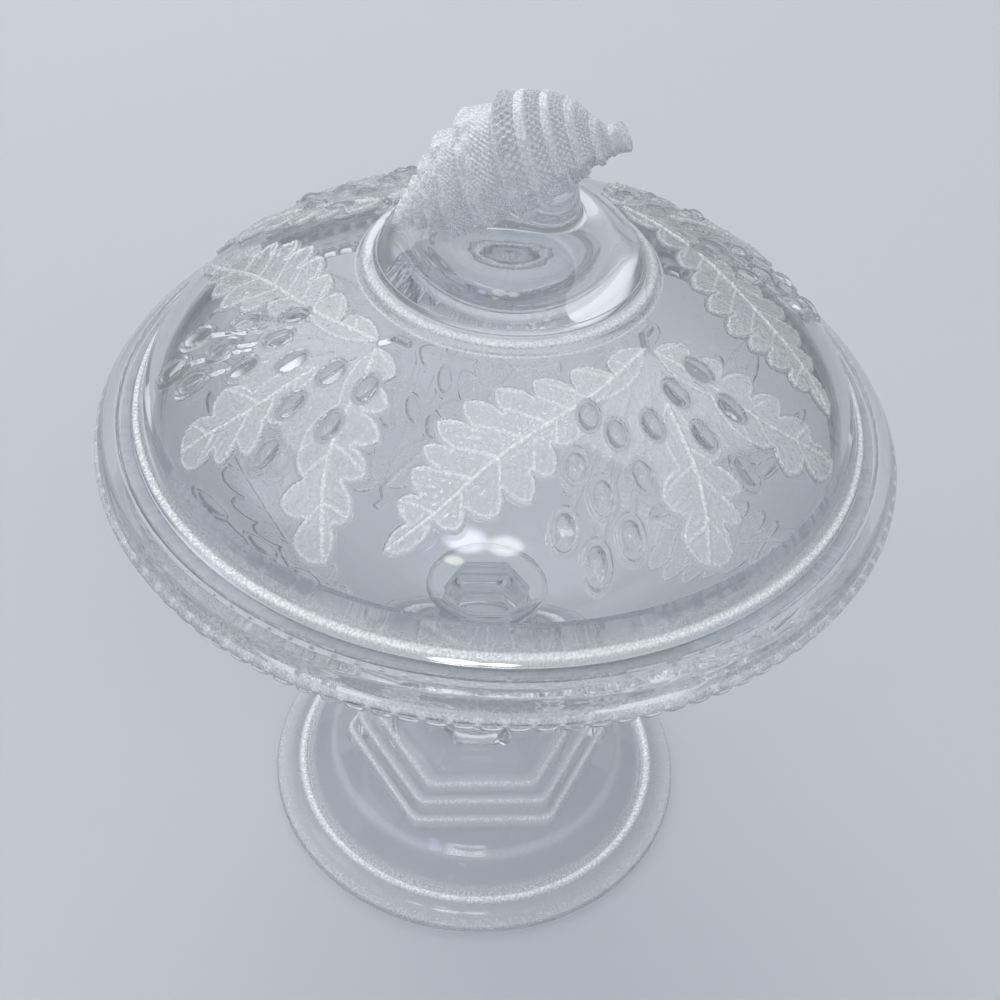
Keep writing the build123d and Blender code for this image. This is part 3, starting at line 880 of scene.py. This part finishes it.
def make_shell():
    s = widened(np.linspace(0, shell_length, shell_rows), shell_columns)
    turn = np.repeat((np.arange(shell_columns) / shell_columns)[None, :], shell_rows, axis=0)
    radius, under, groove = shell_surface(s, turn)
    lift, _ = shell_outline(s)
    across = np.array([0.0, 1.0, 0.0])
    ring = across * np.cos(2 * pi * turn)[..., None] + shell_up * np.sin(2 * pi * turn)[..., None]
    grid = np.array(shell_apex) + s[..., None] * shell_ahead + lift[..., None] * shell_up + radius[..., None] * ring
    # Where the shell would sink into the crown it is cut off at the crown's surface
    away = np.hypot(grid[..., 0], grid[..., 1])
    over = crown_top(grid[..., 0], grid[..., 1])
    sunk = (grid[..., 2] < over) & (away < crown_radius)
    grid[..., 2] = np.where(sunk, over, grid[..., 2])
    frost = (1 - under) * (1 - 0.45 * groove)
    return skin(
        "shell_glass",
        [grid],
        shell_glass,
        "lid",
        "shell_finial",
        values=[frost],
        kept=[any_corner(~sunk)],
    )


# Camera, floor and lamps


def make_camera():
    data = bpy.data.cameras.new("camera")
    data.lens, data.sensor_width = camera_lens, camera_sensor
    camera = bpy.data.objects.new("camera", data)
    bpy.context.scene.collection.objects.link(camera)
    # Yaw about the upright, then pitch, then roll about the line of sight
    aim = Matrix.Rotation(radians(camera_yaw), 4, "Z")
    aim = aim @ Matrix.Rotation(radians(90 - camera_pitch), 4, "X") @ Matrix.Rotation(radians(camera_roll), 4, "Z")
    camera.matrix_world = Matrix.Translation(Vector(camera_place) * MM) @ aim
    bpy.context.scene.camera = camera


def make_floor():
    mesh = bpy.data.meshes.new("floor")
    # Half its width, and how far it lies below the foot, in metres
    half, below = 6.0, -0.0002
    corners = [(-half, -half, below), (half, -half, below), (half, half, below), (-half, half, below)]
    mesh.from_pydata(corners, [], [(0, 1, 2, 3)])
    mesh.materials.append(plain("floor_paint", (0.46, 0.475, 0.5), 0.7))
    floor = bpy.data.objects.new("floor", mesh)
    bpy.context.scene.collection.objects.link(floor)


def softbox(name, place, size, watts, target=(0, 0, 0.13)):
    """A soft oval lamp aimed at the middle of the piece, in metres."""
    data = bpy.data.lights.new(name, "AREA")
    data.shape, data.size, data.size_y = "ELLIPSE", size[0], size[1]
    data.energy = watts
    lamp = bpy.data.objects.new(name, data)
    bpy.context.scene.collection.objects.link(lamp)
    lamp.location = place
    # Its light falls on matt surfaces; what clear glass shows of it is the soft window in the sky
    lamp.visible_transmission = lamp.visible_glossy = False
    lamp.rotation_euler = (Vector(target) - Vector(place)).to_track_quat("-Z", "Y").to_euler()


def make_sky(horizon, zenith, windows):
    """A studio that is darker low down, which draws lines along edges of glass, with soft-edged windows.

    Each window has a direction, the angles in degrees of its outer edge and its core, and its light.
    """
    world = bpy.data.worlds.new("studio")
    world.use_nodes = True
    nodes, links = world.node_tree.nodes, world.node_tree.links
    place = nodes.new("ShaderNodeTexCoord")
    parts = nodes.new("ShaderNodeSeparateXYZ")
    links.new(place.outputs["Generated"], parts.inputs["Vector"])
    ramp = nodes.new("ShaderNodeValToRGB")
    ramp.color_ramp.elements[0].position, ramp.color_ramp.elements[0].color = 0.05, (*horizon, 1)
    ramp.color_ramp.elements[1].position, ramp.color_ramp.elements[1].color = 0.85, (*zenith, 1)
    links.new(parts.outputs["Z"], ramp.inputs["Fac"])
    colour = ramp.outputs["Color"]
    for direction, edge, core, light in windows:
        toward = nodes.new("ShaderNodeVectorMath")
        toward.operation = "DOT_PRODUCT"
        toward.inputs[1].default_value = Vector(direction).normalized()
        links.new(place.outputs["Generated"], toward.inputs[0])
        soft = nodes.new("ShaderNodeMapRange")
        soft.interpolation_type = "SMOOTHSTEP"
        soft.inputs["From Min"].default_value = cos(radians(edge))
        soft.inputs["From Max"].default_value = cos(radians(core))
        links.new(toward.outputs["Value"], soft.inputs["Value"])
        both = nodes.new("ShaderNodeMix")
        both.data_type, both.blend_type = "RGBA", "ADD"
        both.inputs["B"].default_value = (*light, 1)
        links.new(soft.outputs["Result"], both.inputs["Factor"])
        links.new(colour, both.inputs["A"])
        colour = both.outputs["Result"]
    links.new(colour, nodes["Background"].inputs["Color"])
    bpy.context.scene.world = world


make_camera()
make_floor()
softbox("window", (-0.7, 1.9, 2.2), (2.8, 1.6), 52)
softbox("side", (-2.2, -0.6, 1.4), (0.9, 0.5), 9)
softbox("front", (0.9, -1.7, 2.0), (1.2, 0.8), 16)
make_sky(
    (0.27, 0.285, 0.31),
    (0.46, 0.49, 0.53),
    (
        ((-0.3, 0.7, 0.66), 38, 14, (0.62, 0.64, 0.68)),
        ((-0.75, -0.1, 0.65), 16, 6, (0.9, 0.95, 1.05)),
        ((-0.09, -0.4, 0.9), 6, 2, (5.5, 5.8, 6.3)),
        ((0.06, -0.42, 0.9), 5, 2, (5.0, 5.0, 5.0)),
        ((-0.27, -0.4, 0.87), 4, 1, (3.0, 3.7, 5.5)),
        ((-0.14, -0.54, 0.83), 3, 1, (4.4, 4.1, 3.0)),
    ),
)
bpy.context.scene.view_settings.view_transform = "Standard"

make_foot()
make_stem()
make_wafer()
make_bowl()
make_beads()
make_lid()
make_crown()
make_shell()
